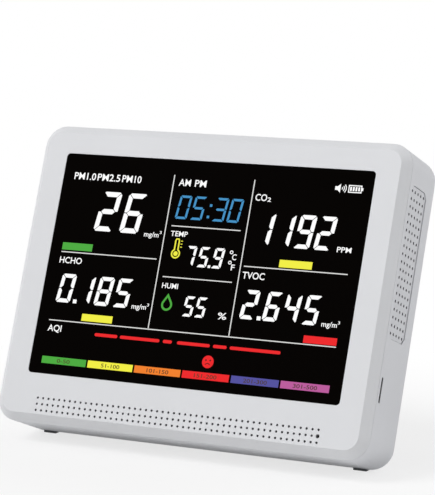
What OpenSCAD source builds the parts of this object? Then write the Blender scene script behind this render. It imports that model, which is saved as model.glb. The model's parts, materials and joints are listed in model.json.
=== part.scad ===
// Desktop air quality monitor with a folding rear stand, in millimetres.
// Every piece is drawn in the case's own frame: X to the viewer's right, Y from the front face
// to the back, Z up from the underside. as_stood() then leans it back on its stand, so that the
// ground is Z = 0 and the origin is under the middle of the whole object.

/* [Case] */
// Width of the case
body_w = 202; // [196:1:250]
// Height of the case
body_h = 152.5; // [150:0.5:190]
// Depth of the case, front face to back
body_d = 42; // [41:0.5:52]
// Radius of the outline's corners
corner_r = 11; // [9:0.5:14]
// Width of the flat bevel round the front face
front_bevel_w = 4; // [3:0.5:4.5]
// Depth of that bevel
front_bevel_d = 4.2; // [3.6:0.1:4.3]
// Radius of the rear edge
rear_edge_r = 8; // [5:0.5:8.5]
// Thickness of the side walls and the back
wall = 2.2; // [1.8:0.1:2.6]
// Thickness of the front face
face_t = 3; // [2.8:0.1:3.4]
// Depth from the front face to the seam between the two shells
seam_y = 4.7; // [4.6:0.1:5.6]
// Width of the shadow gap at the seam
seam_gap = 0.3; // [0.2:0.05:0.4]
// Length of the front shell's tongue past the seam
tongue_l = 1.6; // [1.3:0.1:1.7]
// Thickness of the tongue
tongue_t = 1; // [0.8:0.1:1.2]

/* [Display] */
// Width of the display window
window_w = 170; // [150:1:171]
// Height of the display window
window_h = 113.2; // [95:0.1:114]
// Height of the window's middle above the underside
window_z = 81; // [80:0.5:84]
// Radius of the window's corners
window_r = 2; // [1:0.5:4]
// Thickness of the window
window_t = 1.5; // [1:0.1:1.6]
// Thickness of the adhesive frame behind the window
adhesive_t = 0.3; // [0.2:0.05:0.4]
// Width of the ledge that the window is stuck to
ledge_w = 3; // [2.5:0.5:4]
// Thickness of the LCD panel
lcd_t = 2.2; // [1.6:0.1:2.6]
// Thickness of the backlight
backlight_t = 3.2; // [2.4:0.1:3.6]
// Wall of the display frame
frame_t = 1.2; // [1:0.1:1.6]

/* [Front grille] */
// Number of hole columns
grille_cols = 51; // [31:2:51]
// Number of hole rows
grille_rows = 3; // [2:1:3]
// Distance between holes
grille_pitch = 3.06; // [2.8:0.01:3.2]
// Diameter of a hole
grille_hole_d = 1.2; // [0.8:0.1:1.4]
// Height of the lowest row above the underside
grille_z = 6; // [5.5:0.1:6.5]
// Diameter of the light sensor's hole at the end of the middle row
light_hole_d = 1.9; // [1.5:0.1:2.2]

/* [Vents] */
// Number of columns in a side vent
side_cols = 5; // [3:1:5]
// Number of rows in a side vent
side_rows = 19; // [11:1:19]
// Distance between columns in a side vent
side_pitch_y = 3.7; // [3.4:0.1:3.8]
// Distance between rows in a side vent
side_pitch_z = 3.84; // [3.4:0.01:4]
// Diameter of a side vent's hole
side_hole_d = 1.5; // [1:0.1:1.8]
// Depth of a side vent's middle behind the front face
side_y = 17.5; // [17.5:0.5:20]
// Height of a side vent's middle above the underside
side_z = 97; // [90:0.5:100]
// Border of a vent grille around its holes
side_border = 1.65; // [1.4:0.05:1.7]
// Chamfer on a vent grille's corners
side_chamfer = 3; // [1:0.5:4]
// Number of columns in each rear vent
rear_cols = 17; // [9:1:17]
// Number of rows in each rear vent
rear_rows = 10; // [6:1:10]
// Distance between the holes of a rear vent
rear_pitch = 3.94; // [3.6:0.01:4]
// Diameter of a rear vent's hole
rear_hole_d = 1.4; // [1:0.1:1.8]
// Distance from the middle to a rear vent's first column
rear_first_x = 15.2; // [14:0.1:17]
// Height of a rear vent's lowest row above the underside
rear_low_z = 92.2; // [90:0.1:94]

/* [Keyhole] */
// Radius of the opening that a screw's head goes into
keyhole_head_r = 6; // [5:0.5:6.5]
// Radius of the slot that its shank rests in
keyhole_slot_r = 2.3; // [2:0.1:2.5]
// Height of the head opening's middle above the underside
keyhole_z = 116; // [112:0.5:117]
// Distance from the head opening up to the slot's end
keyhole_rise = 12; // [9:0.5:12]
// Room for the head behind the back
keyhole_room = 6; // [5:0.5:7]

/* [Case screws] */
// Distance from the middle to an outer screw
screw_x = 88; // [88:0.5:90]
// Height of the lower screws above the underside
screw_low_z = 11; // [10.5:0.5:12]
// Distance from the top down to the upper screws
screw_drop = 11.5; // [11:0.5:12]
// Radius of the recess over a screw
recess_r = 2.5; // [2.3:0.1:2.6]
// Radius of a case screw's shank
case_shank_r = 1.1; // [0.9:0.1:1.3]
// Length of a front boss past the front face
front_boss_l = 17; // [14:0.5:20]

/* [Stand] */
// Angle that the case leans back
lean = 20; // [18:0.5:22]
// Width over both arms
stand_w = 159.5; // [150:0.5:160]
// Width of an arm
arm_w = 19; // [17:0.5:20]
// Height of the crossbar
crossbar_h = 19; // [15:0.5:20]
// Length from the hinge axis to the crossbar's lower edge
stand_l = 66.5; // [64:0.5:67]
// Thickness of the stand
stand_t = 5; // [4.6:0.1:5.4]
// Radius of the stand's outer corners
stand_r = 20; // [14:1:22]
// Radius of the stand's inner corners
stand_inner_r = 4.5; // [3.5:0.5:6]
// Height of the hinge axis above the underside
hinge_z = 69.5; // [68.5:0.5:71]
// Radius of a hinge pin
pin_r = 1.25; // [1:0.05:1.4]
// Width of the slot in an arm's end
slot_w = 4; // [3.6:0.1:4.4]
// Length of that slot below the hinge axis
slot_l = 12; // [10:0.5:14]
// How far the rubber feet stand proud
foot_proud = 0.4; // [0.3:0.1:0.6]

/* [Keys] */
// Length of a rocker key
key_l = 36; // [32:0.5:37]
// Width of a rocker key
key_w = 11; // [9:0.5:11]
// How far a key stands proud of the top
key_proud = 0.7; // [0.4:0.1:1]
// Distance from the middle to the inner key
key_first_x = 20.5; // [20:0.5:21]
// Distance between the two keys
key_pitch = 39; // [39:0.5:40]
// Depth of the keys behind the front face
key_y = 18; // [18:0.5:20]
// Distance from a key's middle to each of its two press points
press_x = 9.75; // [9:0.25:11]

/* [Ports] */
// Height of the USB-C socket's middle above the underside
usb_z = 41; // [40:0.5:44]
// Depth of the USB-C socket's middle behind the front face
usb_y = 24.3; // [24:0.1:26]
// Height of the card slot's middle above the underside
card_z = 34.8; // [34:0.1:38]
// Depth of the card slot's middle behind the front face
card_y = 8.2; // [8.2:0.1:8.4]
// Length of the card slot
card_l = 12.4; // [12:0.1:13]
// Width of the card slot
card_gap = 1.7; // [1.4:0.1:1.8]

/* [Hidden] */
$fn = 48;

// Clearances
gap = 0.1;              // between stacked flat pieces
fit = 0.3;              // around a piece that drops into an opening
run = 0.05;             // radial, between a pin and its bore
cut = 1;                // how far a cut runs past a face

// Case
mid_z = body_h / 2;
inner_w = body_w - 2 * wall;
inner_h = body_h - 2 * wall;
inner_r = corner_r - wall;
back_y = body_d - wall;                 // inner face of the back
side_x = body_w / 2 - wall;             // inner face of a side
top_z = body_h - wall;                  // inner face of the top
tongue_end = seam_y + tongue_l;

// Display stack, front to back
window_y = 0.15;
adhesive_y = window_y + window_t;
ledge_y = adhesive_y + adhesive_t;
lcd_w = window_w - 4;
lcd_h = window_h - 4.2;
lcd_y = face_t + gap;
backlight_y = lcd_y + lcd_t + gap;
frame_back_y = backlight_y + backlight_t + gap;
frame_rear = frame_back_y + frame_t;
frame_in_w = lcd_w + 0.4;
frame_in_h = lcd_h + 0.4;
frame_w = frame_in_w + 2 * frame_t;
frame_h = frame_in_h + 2 * frame_t;
frame_low = window_z - frame_h / 2;
frame_high = window_z + frame_h / 2;

// Screws and bosses
post_r = 2.4;
pilot_r = 0.8;
small_shank_r = 0.75;
small_head_r = 1.7;
small_head_t = 1.1;
small_l = 4.2;
hole_slack = 0.25;
boss_r = 3;
rear_boss_r = recess_r + 1;
boss_end = face_t + front_boss_l;
shoulder_t = 2;
case_head_r = recess_r - 0.3;
case_head_t = 1.6;
case_screw_l = 10;
screw_high_z = body_h - screw_drop;
case_screw_spots = [
    [-screw_x, screw_high_z], [0, screw_high_z], [screw_x, screw_high_z],
    [-screw_x, screw_low_z], [screw_x, screw_low_z]
];
ear_spots = [for (sx = [-1, 1]) each [
    [sx * 52, frame_high + 3.6],
    [sx * 66, frame_low - 4.4]
]];

// Stand
hinge_y = body_d - stand_t / 2 - gap;
groove_d = stand_t + 4 * gap;
groove_gap = 0.5;
groove_wall = 2;
arm_x = stand_w / 2 - arm_w / 2;
lug_t = slot_w - 0.8;
pin_l = arm_w - 3;
pad_h = 1.6;
pad_t = stand_t - 1.6;
pad_w = stand_w - 2 * stand_r - 12;
catch_z = 24;
catch_r = 1.3;
foot_x = 86;
foot_w = 7;
foot_l = 7;
foot_in = 1.4;

// How the case stands: its rear edge's feet and the stand's pad both reach the ground
contact_y = body_d - rear_edge_r;
ground_drop = sin(lean) * contact_y - cos(lean) * rear_edge_r + rear_edge_r + foot_proud;
hinge_up = cos(lean) * hinge_z - sin(lean) * hinge_y + ground_drop;
pad_reach = stand_l + foot_proud;
pad_half = pad_t / 2;
stand_tilt = acos(hinge_up / norm([pad_reach, pad_half])) + atan2(pad_half, pad_reach);
stand_open = lean + stand_tilt;
heel_l = (groove_d - stand_t / 2 - 2 * gap - stand_t / 2 * cos(stand_open)) / sin(stand_open);

// Furthest forward and back when stood, for the origin
front_reach = min(sin(lean) * front_bevel_w, cos(lean) * front_bevel_d);
top_back = cos(lean) * contact_y + sin(lean) * (body_h - rear_edge_r) + rear_edge_r;
stand_back = cos(lean) * hinge_y + sin(lean) * hinge_z + stand_l * sin(stand_tilt)
    + stand_t / 2 * cos(stand_tilt);
back_reach = max(top_back, stand_back);

// Keys
key_top = body_h + key_proud;
key_r = key_w / 2;
key_flange = 1;
flange_top = top_z - 0.7;
key_hinge_z = top_z - 2.7;
key_hinge_r = 1.1;
key_hinge_l = key_w + 7;
key_ear_t = 1.4;
key_ear_y = key_hinge_l / 2 - key_ear_t;
key_bottom = key_hinge_z - 1.35;
board_t = 1.6;
switch_t = 4.3;
button_board_z = key_bottom - 0.35 - switch_t - board_t;
button_post_y = key_y + 10.5;
button_post_x = [12, 68];
key_spots = [key_first_x + key_pitch, key_first_x];

// Boards and sensors
main_w = 96;
main_h = 62;
main_x = -11;
main_z = window_z + 12;
main_post = 2.5;
main_y = frame_rear + main_post;
socket_y = main_y + board_t + 2.2;
socket_low = main_z - 27;
function socket_x(i) = main_x - 34 + i * 14;
lead_w = 3;
lead_t = 0.8;
battery_w = 62;
battery_h = 30;
battery_t = 8;
battery_pad_t = 0.4;
battery_x = -42;
battery_z = frame_low + 19;
battery_y = frame_rear + gap + battery_pad_t;
ribbon_x = 12;
ribbon_w = 22;
ribbon_t = 0.25;
speaker_w = 48;
speaker_h = 15;
speaker_t = 8;
speaker_y = face_t + 0.9;
speaker_z = wall + 1.2 + speaker_h / 2;
mesh_t = 0.4;
grille_half = grille_pitch * (grille_cols - 1) / 2;
light_x = grille_half;
light_z = grille_z + grille_pitch;
pm_w = 48;
pm_h = 38;
pm_t = 20;
pm_wall = 1.2;
pm_x = 70;
pm_z = side_z + 7;
pm_y = back_y - pm_t - 2 * gap;
fan_x = pm_x - 8;
fan_r = 12;
fan_room = 0.6;
fan_t = 8;
fan_pin_r = 1;
fan_y = pm_y + 2.2;
sensor_w = 42;
sensor_h = 46;
sensor_x = -72;
sensor_z = side_z + 9;
sensor_y = back_y - 15.6;
sensor_rear = sensor_y + board_t;
power_w = 15;
power_h = 26;
usb_l = 7.6;
usb_w = 8.94;
usb_t = 3.26;
usb_wall = 0.3;
power_y = usb_y + usb_t / 2 + gap;
power_x = -side_x + 0.4 + power_w / 2;
card_depth = 12.2;
card_body_t = 2.1;
card_board_t = 1.2;
card_board_y = card_y + card_body_t / 2 + gap;
card_board_h = 30;
card_post_z = card_z + 14;
card_x = side_x - 0.2 - card_depth / 2;

// ---------------------------------------------------------------- placing

// Leans a piece back and sets it on the ground, centred over the origin
module as_stood()
    translate([0, -(back_reach + front_reach) / 2, ground_drop])
        rotate([-lean, 0, 0])
            children();

// A flat shape drawn in X and Z, made solid from depth y0 to depth y1
module slab(y0, y1)
    translate([0, y1, 0])
        rotate([90, 0, 0])
            linear_extrude(height = y1 - y0)
                children();

// A round bar along Y from depth y0 to depth y1
module bar(x, z, y0, y1, r)
    translate([x, y1, z])
        rotate([90, 0, 0])
            cylinder(h = y1 - y0, r = r);

module round_rect(w, h, r) {
    square([w - 2 * r, h], center = true);
    if (h > 2 * r) square([w, h - 2 * r], center = true);
    for (x = [-1, 1], y = [-1, 1])
        translate([x * (w / 2 - r), y * (h / 2 - r)])
            circle(r = r);
}

module outline(inset)
    translate([0, mid_z])
        round_rect(body_w - 2 * inset, body_h - 2 * inset, corner_r - inset);

// The case's edge, cut through: from its middle out to reach, bevelled at the front and
// rounded at the rear
module edge_profile(reach, depth, bw, bd, rr) {
    translate([0, bd])
        square([reach, depth - bd - rr]);
    if (bd > 0) polygon([[0, 0], [reach - bw, 0], [reach, bd], [0, bd]]);
    if (rr > 0) {
        translate([0, depth - rr]) square([reach - rr, rr]);
        intersection() {
            translate([reach - rr, depth - rr]) circle(r = rr);
            translate([reach - rr, depth - rr]) square([rr, rr]);
        }
    }
}

// A block with the case's outline and shaped edges: a core, four sides and four corners
module case_block(w, h, y0, y1, r, bw, bd, rr) {
    across = w / 2 - r;
    up = h / 2 - r;
    translate([0, 0, mid_z]) {
        slab(y0, y1) square([2 * across, 2 * up], center = true);
        for (m = [0, 1])
            mirror([m, 0, 0])
                translate([across, y0, -up])
                    linear_extrude(height = 2 * up)
                        edge_profile(r, y1 - y0, bw, bd, rr);
        for (m = [0, 1])
            mirror([0, 0, m])
                translate([across, y0, up])
                    rotate([0, -90, 0])
                        linear_extrude(height = 2 * across)
                            edge_profile(r, y1 - y0, bw, bd, rr);
        for (mx = [0, 1], mz = [0, 1])
            mirror([mx, 0, 0])
                mirror([0, 0, mz])
                    translate([across, y0, -up])
                        rotate([-90, 0, 0])
                            rotate_extrude(angle = 90)
                                edge_profile(r, y1 - y0, bw, bd, rr);
    }
}

module hole_grid(cols, rows, px, pz, d)
    for (i = [0 : cols - 1], j = [0 : rows - 1])
        translate([i * px, j * pz])
            circle(d = d, $fn = 16);

// A machine screw along Y: its head's underside at y, its shank towards the front
module screw(x, z, y, r, l, head_r, head_t) {
    bar(x, z, y - l, y + gap, r);
    difference() {
        bar(x, z, y, y + head_t, head_r);
        slab(y + head_t / 2, y + head_t + cut)
            translate([x, z])
                for (a = [0, 90])
                    rotate(a) square([head_r * 1.3, head_r * 0.3], center = true);
    }
}

// A flat lead of width w, through a path in Y and Z that only ever runs back and up
module flat_lead(x, w, path, t)
    translate([x - w / 2, 0, 0])
        rotate([90, 0, 90])
            linear_extrude(height = w)
                polygon([
                    each path,
                    for (i = [len(path) - 1 : -1 : 0]) path[i] + [-t, t]
                ]);

// ---------------------------------------------------------------- case

module front_grille()
    difference() {
        translate([-grille_half, grille_z])
            hole_grid(grille_cols, grille_rows, grille_pitch, grille_pitch, grille_hole_d);
        translate([light_x, light_z]) square(grille_pitch, center = true);
    }

module front_shell() color("#DCDDDF") as_stood()
    difference() {
        union() {
            difference() {
                case_block(body_w, body_h, 0, seam_y, corner_r, front_bevel_w, front_bevel_d, 0);
                slab(face_t + 0.8, seam_y + cut) outline(wall);
                slab(face_t, face_t + cut) outline(wall + 1.2);
            }
            slab(face_t - gap, tongue_end)
                difference() {
                    outline(wall - tongue_t);
                    outline(wall);
                }
            for (p = case_screw_spots) bar(p[0], p[1], face_t - gap, boss_end, boss_r);
            for (p = ear_spots) bar(p[0], p[1], face_t - gap, frame_back_y, post_r);
            bar(side_x - 6.5, card_post_z, face_t - gap, card_board_y, post_r);
        }
        // window pocket, and the opening inside its ledge
        slab(-cut, ledge_y)
            translate([0, window_z]) round_rect(window_w, window_h, window_r);
        slab(-cut, face_t + cut)
            translate([0, window_z])
                square([window_w - 2 * ledge_w, window_h - 2 * ledge_w], center = true);
        slab(-cut, face_t + cut) {
            front_grille();
            translate([light_x, light_z]) circle(d = light_hole_d);
        }
        for (p = case_screw_spots)
            bar(p[0], p[1], boss_end - case_screw_l, boss_end + cut, case_shank_r + run);
        for (p = ear_spots)
            bar(p[0], p[1], face_t + 1, frame_back_y + cut, pilot_r);
        bar(side_x - 6.5, card_post_z, face_t + 1, card_board_y + cut, pilot_r);
    }

// Outline of the folded stand, grown by a margin; its top end reaches a given height
module stand_outline(margin, top) {
    low = hinge_z - stand_l;
    over = arm_w / 2 + margin;
    for (s = [-1, 1])
        translate([s * arm_x - over, low + stand_r])
            square([2 * over, top - low - stand_r]);
    difference() {
        translate([0, low - margin + stand_r + margin])
            intersection() {
                union() {
                    for (s = [-1, 1])
                        translate([s * (stand_w / 2 - stand_r), 0]) circle(r = stand_r + margin);
                    square([stand_w - 2 * stand_r, 2 * (stand_r + margin)], center = true);
                }
                translate([-stand_w, -2 * stand_r]) square([2 * stand_w, 2 * stand_r]);
            }
        translate([-stand_w / 2 + arm_w + margin, low + crossbar_h + margin])
            square([stand_w - 2 * arm_w - 2 * margin, stand_r * 2]);
    }
    // inner corners
    fillet = stand_inner_r - margin;
    for (m = [0, 1])
        mirror([m, 0])
            translate([stand_w / 2 - arm_w - margin - fillet, low + crossbar_h + margin])
                difference() {
                    translate([0, -gap]) square([fillet + gap, fillet + gap]);
                    translate([0, fillet]) circle(r = fillet);
                }
}

module keyhole_shape(grow) {
    head = keyhole_head_r + grow;
    slot = keyhole_slot_r + grow;
    lift = asin((keyhole_head_r - keyhole_slot_r) / keyhole_rise);
    translate([0, keyhole_z]) {
        circle(r = head);
        translate([0, keyhole_rise]) circle(r = slot);
        // the neck's sides run just inside both circles
        polygon([for (m = [1, -1], e = m > 0 ? [0, 1] : [1, 0])
            (e > 0 ? slot - gap : head - gap) * [m * cos(lift), sin(lift)]
                + [0, e * keyhole_rise]
        ]);
    }
}

module vent_opening(grow) {
    h = side_pitch_z * (side_rows - 1) + side_hole_d + 2 * side_border + 2 * grow;
    w = side_pitch_y * (side_cols - 1) + side_hole_d + 2 * side_border + 2 * grow;
    c = side_chamfer;
    polygon([
        [-w / 2 + c, -h / 2], [w / 2 - c, -h / 2], [w / 2, -h / 2 + c], [w / 2, h / 2 - c],
        [w / 2 - c, h / 2], [-w / 2 + c, h / 2], [-w / 2, h / 2 - c], [-w / 2, -h / 2 + c]
    ]);
}

// A flat shape drawn in Y and Z, made solid outwards from x0 to x1 on the side given by s
module side_slab(s, x0, x1)
    translate([s > 0 ? x0 : -x1, 0, 0])
        rotate([90, 0, 90])
            linear_extrude(height = x1 - x0)
                children();

// A flat pocket at the rear edge that a rubber foot sits in, level with the ground
module foot_site(x, w, l, low, high)
    translate([x, contact_y + rear_edge_r * sin(lean), rear_edge_r * (1 - cos(lean))])
        rotate([lean, 0, 0])
            translate([-w / 2, -l / 2, low])
                cube([w, l, high - low]);

module rear_shell() color("#C9CACD") as_stood()
    difference() {
        union() {
            difference() {
                case_block(body_w, body_h, seam_y + seam_gap, body_d, corner_r, 0, 0,
                    rear_edge_r);
                case_block(inner_w, inner_h, seam_y - cut, back_y, inner_r, 0, 0,
                    rear_edge_r - wall);
                slab(seam_y - cut, tongue_end + 2 * gap) outline(wall - tongue_t - 1.5 * gap);
            }
            // inner skin of the stand's groove
            slab(body_d - groove_d - groove_wall, back_y + gap)
                intersection() {
                    stand_outline(groove_gap + groove_wall, hinge_z + stand_t);
                    outline(wall);
                }
            for (p = case_screw_spots)
                bar(p[0], p[1], boss_end + gap, back_y + gap, rear_boss_r);
            // cup behind the keyhole
            slab(back_y - keyhole_room - 1.5, back_y + gap) keyhole_shape(3.5);
            for (x = button_post_x)
                translate([x, button_post_y, button_board_z + board_t])
                    cylinder(h = top_z - button_board_z - board_t + gap, r = post_r);
            for (kx = key_spots, s = [-1, 1])
                translate([kx - 2.2, key_y + s * key_ear_y - (s < 0 ? key_ear_t : 0),
                    key_hinge_z - 2.2])
                    cube([4.4, key_ear_t, top_z - key_hinge_z + 2.2 + gap]);
            for (sx = [-1, 1], sz = [-1, 1])
                bar(sensor_x + sx * (sensor_w / 2 - 3), sensor_z + sz * (sensor_h / 2 - 3),
                    sensor_rear, back_y + gap, post_r);
            for (sz = [-1, 1])
                bar(power_x + 3, usb_z + sz * (power_h / 2 - 3), power_y + board_t,
                    back_y + gap, post_r);
        }
        // stand groove, keyhole and screw recesses
        difference() {
            slab(body_d - groove_d, body_d + cut) {
                stand_outline(groove_gap, hinge_z + stand_t / 2 + groove_gap);
                // room for the pad at the groove's lower edge
                translate([-pad_w / 2 - groove_gap, hinge_z - pad_reach - groove_gap])
                    square([pad_w + 2 * groove_gap, stand_r / 2]);
            }
            for (s = [-1, 1])
                translate([s * arm_x, 0, 0]) stand_lug();
            for (s = [-1, 1])
                bar(s * (stand_w / 2 + groove_gap + 0.45), hinge_z - catch_z,
                    body_d - groove_d - gap, body_d - groove_d + 2, catch_r);
        }
        slab(back_y - cut, body_d + cut) keyhole_shape(0);
        slab(back_y - keyhole_room, back_y) keyhole_shape(2);
        for (p = case_screw_spots) {
            bar(p[0], p[1], boss_end + shoulder_t, body_d + cut, recess_r);
            bar(p[0], p[1], boss_end - cut, boss_end + shoulder_t + cut,
                case_shank_r + hole_slack);
        }
        for (s = [-1, 1])
            translate([s * arm_x - slot_w / 2, hinge_y, hinge_z])
                rotate([0, 90, 0]) cylinder(h = slot_w, r = pin_r + 0.02);
        // vents, in the back and in both sides
        slab(back_y - cut, body_d + cut)
            for (m = [0, 1])
                mirror([m, 0])
                    translate([rear_first_x, rear_low_z])
                        hole_grid(rear_cols, rear_rows, rear_pitch, rear_pitch, rear_hole_d);
        for (s = [-1, 1])
            side_slab(s, side_x - cut, body_w / 2 + cut)
                translate([side_y, side_z]) vent_opening(fit);
        // keys, their hinge bores and the screws in the posts
        for (kx = key_spots) {
            translate([kx, key_y, top_z - cut])
                linear_extrude(height = wall + 2 * cut)
                    round_rect(key_l + 0.8, key_w + 0.8, key_r + 0.4);
            translate([kx, key_y + key_hinge_l / 2 + cut, key_hinge_z])
                rotate([90, 0, 0])
                    cylinder(h = key_hinge_l + 2 * cut, r = key_hinge_r + run);
        }
        for (x = button_post_x)
            translate([x, button_post_y, button_board_z - cut]) cylinder(h = 6, r = pilot_r);
        for (sx = [-1, 1], sz = [-1, 1])
            bar(sensor_x + sx * (sensor_w / 2 - 3), sensor_z + sz * (sensor_h / 2 - 3),
                sensor_y, sensor_rear + 5, pilot_r);
        for (sz = [-1, 1])
            bar(power_x + 3, usb_z + sz * (power_h / 2 - 3), power_y, power_y + 6, pilot_r);
        // ports
        side_slab(-1, side_x - cut, body_w / 2 + cut)
            translate([usb_y, usb_z]) round_rect(usb_t + 0.6, usb_w + 0.6, usb_t / 2);
        side_slab(1, side_x - cut, body_w / 2 + cut)
            translate([card_y, card_z]) round_rect(card_gap, card_l, card_gap / 2 - 0.05);
        for (s = [-1, 1])
            foot_site(s * foot_x, foot_w + fit, foot_l + fit, -cut, foot_in + gap);
    }

// A lug on the groove's floor, in the slot of an arm's end
module stand_lug()
    translate([-lug_t / 2, 0, 0])
        rotate([90, 0, 90])
            linear_extrude(height = lug_t) {
                translate([hinge_y, hinge_z]) circle(r = stand_t / 2 - 0.2);
                translate([body_d - groove_d - gap, hinge_z - stand_t / 2 + 0.2])
                    square([hinge_y - body_d + groove_d + gap, stand_t - 0.4]);
            }

module foot_pads() color("#6E7073") as_stood()
    for (s = [-1, 1])
        foot_site(s * foot_x, foot_w, foot_l, -foot_proud, foot_in);

// A vent grille: a perforated face sunk a little into the side's opening, with a rim behind
// the wall
module vent_grille(s)
    difference() {
        union() {
            side_slab(s, side_x - gap, body_w / 2 - 0.45)
                translate([side_y, side_z]) vent_opening(0);
            side_slab(s, side_x - gap - 1, side_x - gap)
                translate([side_y, side_z]) vent_opening(1);
        }
        side_slab(s, side_x - 2 * cut, body_w / 2 + cut)
            translate([
                side_y - side_pitch_y * (side_cols - 1) / 2,
                side_z - side_pitch_z * (side_rows - 1) / 2
            ])
                hole_grid(side_cols, side_rows, side_pitch_y, side_pitch_z, side_hole_d);
    }

module vent_grille_right() color("#BFC0C3") as_stood() vent_grille(1);
module vent_grille_left() color("#BFC0C3") as_stood() vent_grille(-1);

module case_screws() color("#3A3B3D") as_stood()
    for (p = case_screw_spots)
        screw(p[0], p[1], boss_end + shoulder_t + gap, case_shank_r, case_screw_l,
            case_head_r, case_head_t);

// ---------------------------------------------------------------- display

module display_window() color("#0A0A0C") as_stood()
    slab(window_y, adhesive_y)
        translate([0, window_z])
            round_rect(window_w - fit, window_h - fit, window_r - fit / 2);

module window_adhesive() color("#202020") as_stood()
    slab(adhesive_y, ledge_y)
        translate([0, window_z])
            difference() {
                square([window_w - 2, window_h - 2], center = true);
                square([window_w - 2 * ledge_w, window_h - 2 * ledge_w], center = true);
            }

module lcd_panel() color("#1B1D22") as_stood()
    slab(lcd_y, lcd_y + lcd_t)
        translate([0, window_z]) square([lcd_w, lcd_h], center = true);

module backlight() color("#E8EAEC") as_stood()
    slab(backlight_y, backlight_y + backlight_t)
        translate([0, window_z]) square([lcd_w, lcd_h], center = true);

module display_frame() color("#F0F0EE") as_stood()
    difference() {
        union() {
            slab(face_t + gap / 2, frame_rear)
                translate([0, window_z]) square([frame_w, frame_h], center = true);
            for (p = ear_spots)
                slab(frame_back_y, frame_rear) {
                    translate(p) circle(r = post_r + 0.8);
                    translate([p[0], (p[1] + window_z) / 2])
                        square([2 * post_r + 1.6, abs(p[1] - window_z)], center = true);
                }
            for (sx = [-1, 1], sz = [-1, 1])
                bar(main_x + sx * (main_w / 2 - 4), main_z + sz * (main_h / 2 - 4),
                    frame_rear - gap, main_y, post_r);
        }
        slab(face_t - cut, frame_back_y)
            translate([0, window_z]) square([frame_in_w, frame_in_h], center = true);
        slab(face_t - cut, frame_rear + cut)
            translate([ribbon_x, frame_low]) square([ribbon_w + 2, 2 * frame_t + 0.3],
                center = true);
        for (p = ear_spots)
            bar(p[0], p[1], frame_back_y - cut, frame_rear + cut, small_shank_r + hole_slack);
        for (sx = [-1, 1], sz = [-1, 1])
            bar(main_x + sx * (main_w / 2 - 4), main_z + sz * (main_h / 2 - 4),
                main_y - 3, main_y + cut, pilot_r);
    }

// Flat cable: from the panel's lower edge, round the backlight and up to the main board
module display_ribbon() color("#C98A2B") as_stood() {
    front = lcd_y + 1;
    low = frame_low + 0.2;
    rear = frame_rear + gap;
    high = main_z - main_h / 2 + 1.5;
    t = ribbon_t;
    translate([ribbon_x - ribbon_w / 2, 0, 0])
        rotate([90, 0, 90])
            linear_extrude(height = ribbon_w)
                polygon([
                    [front, window_z - lcd_h / 2 - gap / 2], [front, low],
                    [rear + t, low], [rear + t, high], [main_y - gap, high],
                    [main_y - gap, high + t], [rear, high + t], [rear, low + t],
                    [front + t, low + t], [front + t, window_z - lcd_h / 2 - gap / 2]
                ]);
}

// ---------------------------------------------------------------- main board and power

module main_board() color("#1E6B3C") as_stood()
    slab(main_y, main_y + board_t)
        difference() {
            translate([main_x, main_z]) round_rect(main_w, main_h, 2);
            for (sx = [-1, 1], sz = [-1, 1])
                translate([main_x + sx * (main_w / 2 - 4), main_z + sz * (main_h / 2 - 4)])
                    circle(r = small_shank_r + hole_slack);
        }

// Shield can, chips, a coin cell and plug sockets, soldered to the main board
module main_board_parts() color("#A8ABAF") as_stood() {
    y = main_y + board_t;
    slab(y, y + 2.6) translate([main_x - 20, main_z + 8]) square([26, 24], center = true);
    slab(y, y + 1.2) translate([main_x + 12, main_z + 8]) square([14, 14], center = true);
    slab(y, y + 1.2) translate([main_x + 32, main_z + 10]) square([8, 10], center = true);
    bar(main_x + 30, main_z - 14, y, y + 3.2, 6);
    for (i = [0 : 3])
        slab(y, y + 4.5) translate([socket_x(i), socket_low + 3]) square([9, 6], center = true);
}

module battery_cell() color("#B9BCC2") as_stood()
    slab(battery_y, battery_y + battery_t)
        translate([battery_x, battery_z]) round_rect(battery_w, battery_h, 3);

module battery_pad() color("#F4F4F2") as_stood()
    slab(frame_rear + gap / 2, battery_y - gap / 2)
        translate([battery_x, battery_z])
            square([battery_w - 10, battery_h - 10], center = true);

module battery_lead() color("#B02020") as_stood() {
    y = battery_y + battery_t / 2;
    top = battery_z + battery_h / 2 + gap;
    flat_lead(socket_x(1), lead_w, [
        [y, top], [y, top + 1.5], [socket_y, socket_low - 3], [socket_y, socket_low - gap - lead_t]
    ], lead_t);
}

module power_board() color("#1E6B3C") as_stood()
    slab(power_y, power_y + board_t)
        difference() {
            translate([power_x, usb_z]) square([power_w, power_h], center = true);
            for (sz = [-1, 1])
                translate([power_x + 3, usb_z + sz * (power_h / 2 - 3)])
                    circle(r = small_shank_r + hole_slack);
        }

// USB-C receptacle: an open shell with a tongue, its mouth towards the side
module usb_c_socket() color("#C4C7CB") as_stood()
    translate([0, usb_y, usb_z])
        difference() {
            side_slab(-1, body_w / 2 - 0.6 - usb_l, body_w / 2 - 0.6)
                round_rect(usb_t, usb_w, usb_t / 2 - 0.05);
            side_slab(-1, body_w / 2 - usb_l + 0.6, body_w / 2 + cut)
                difference() {
                    round_rect(usb_t - 2 * usb_wall, usb_w - 2 * usb_wall,
                        usb_t / 2 - usb_wall - 0.05);
                    square([0.7, 6.7], center = true);
                }
            side_slab(-1, body_w / 2 - 1.5, body_w / 2 + cut)
                square([0.9, 6.9], center = true);
        }

module card_board() color("#1E6B3C") as_stood()
    slab(card_board_y, card_board_y + card_board_t)
        difference() {
            translate([card_x, card_z + 4]) square([card_depth - 0.6, card_board_h],
                center = true);
            translate([side_x - 6.5, card_post_z]) circle(r = small_shank_r + hole_slack);
        }

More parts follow.
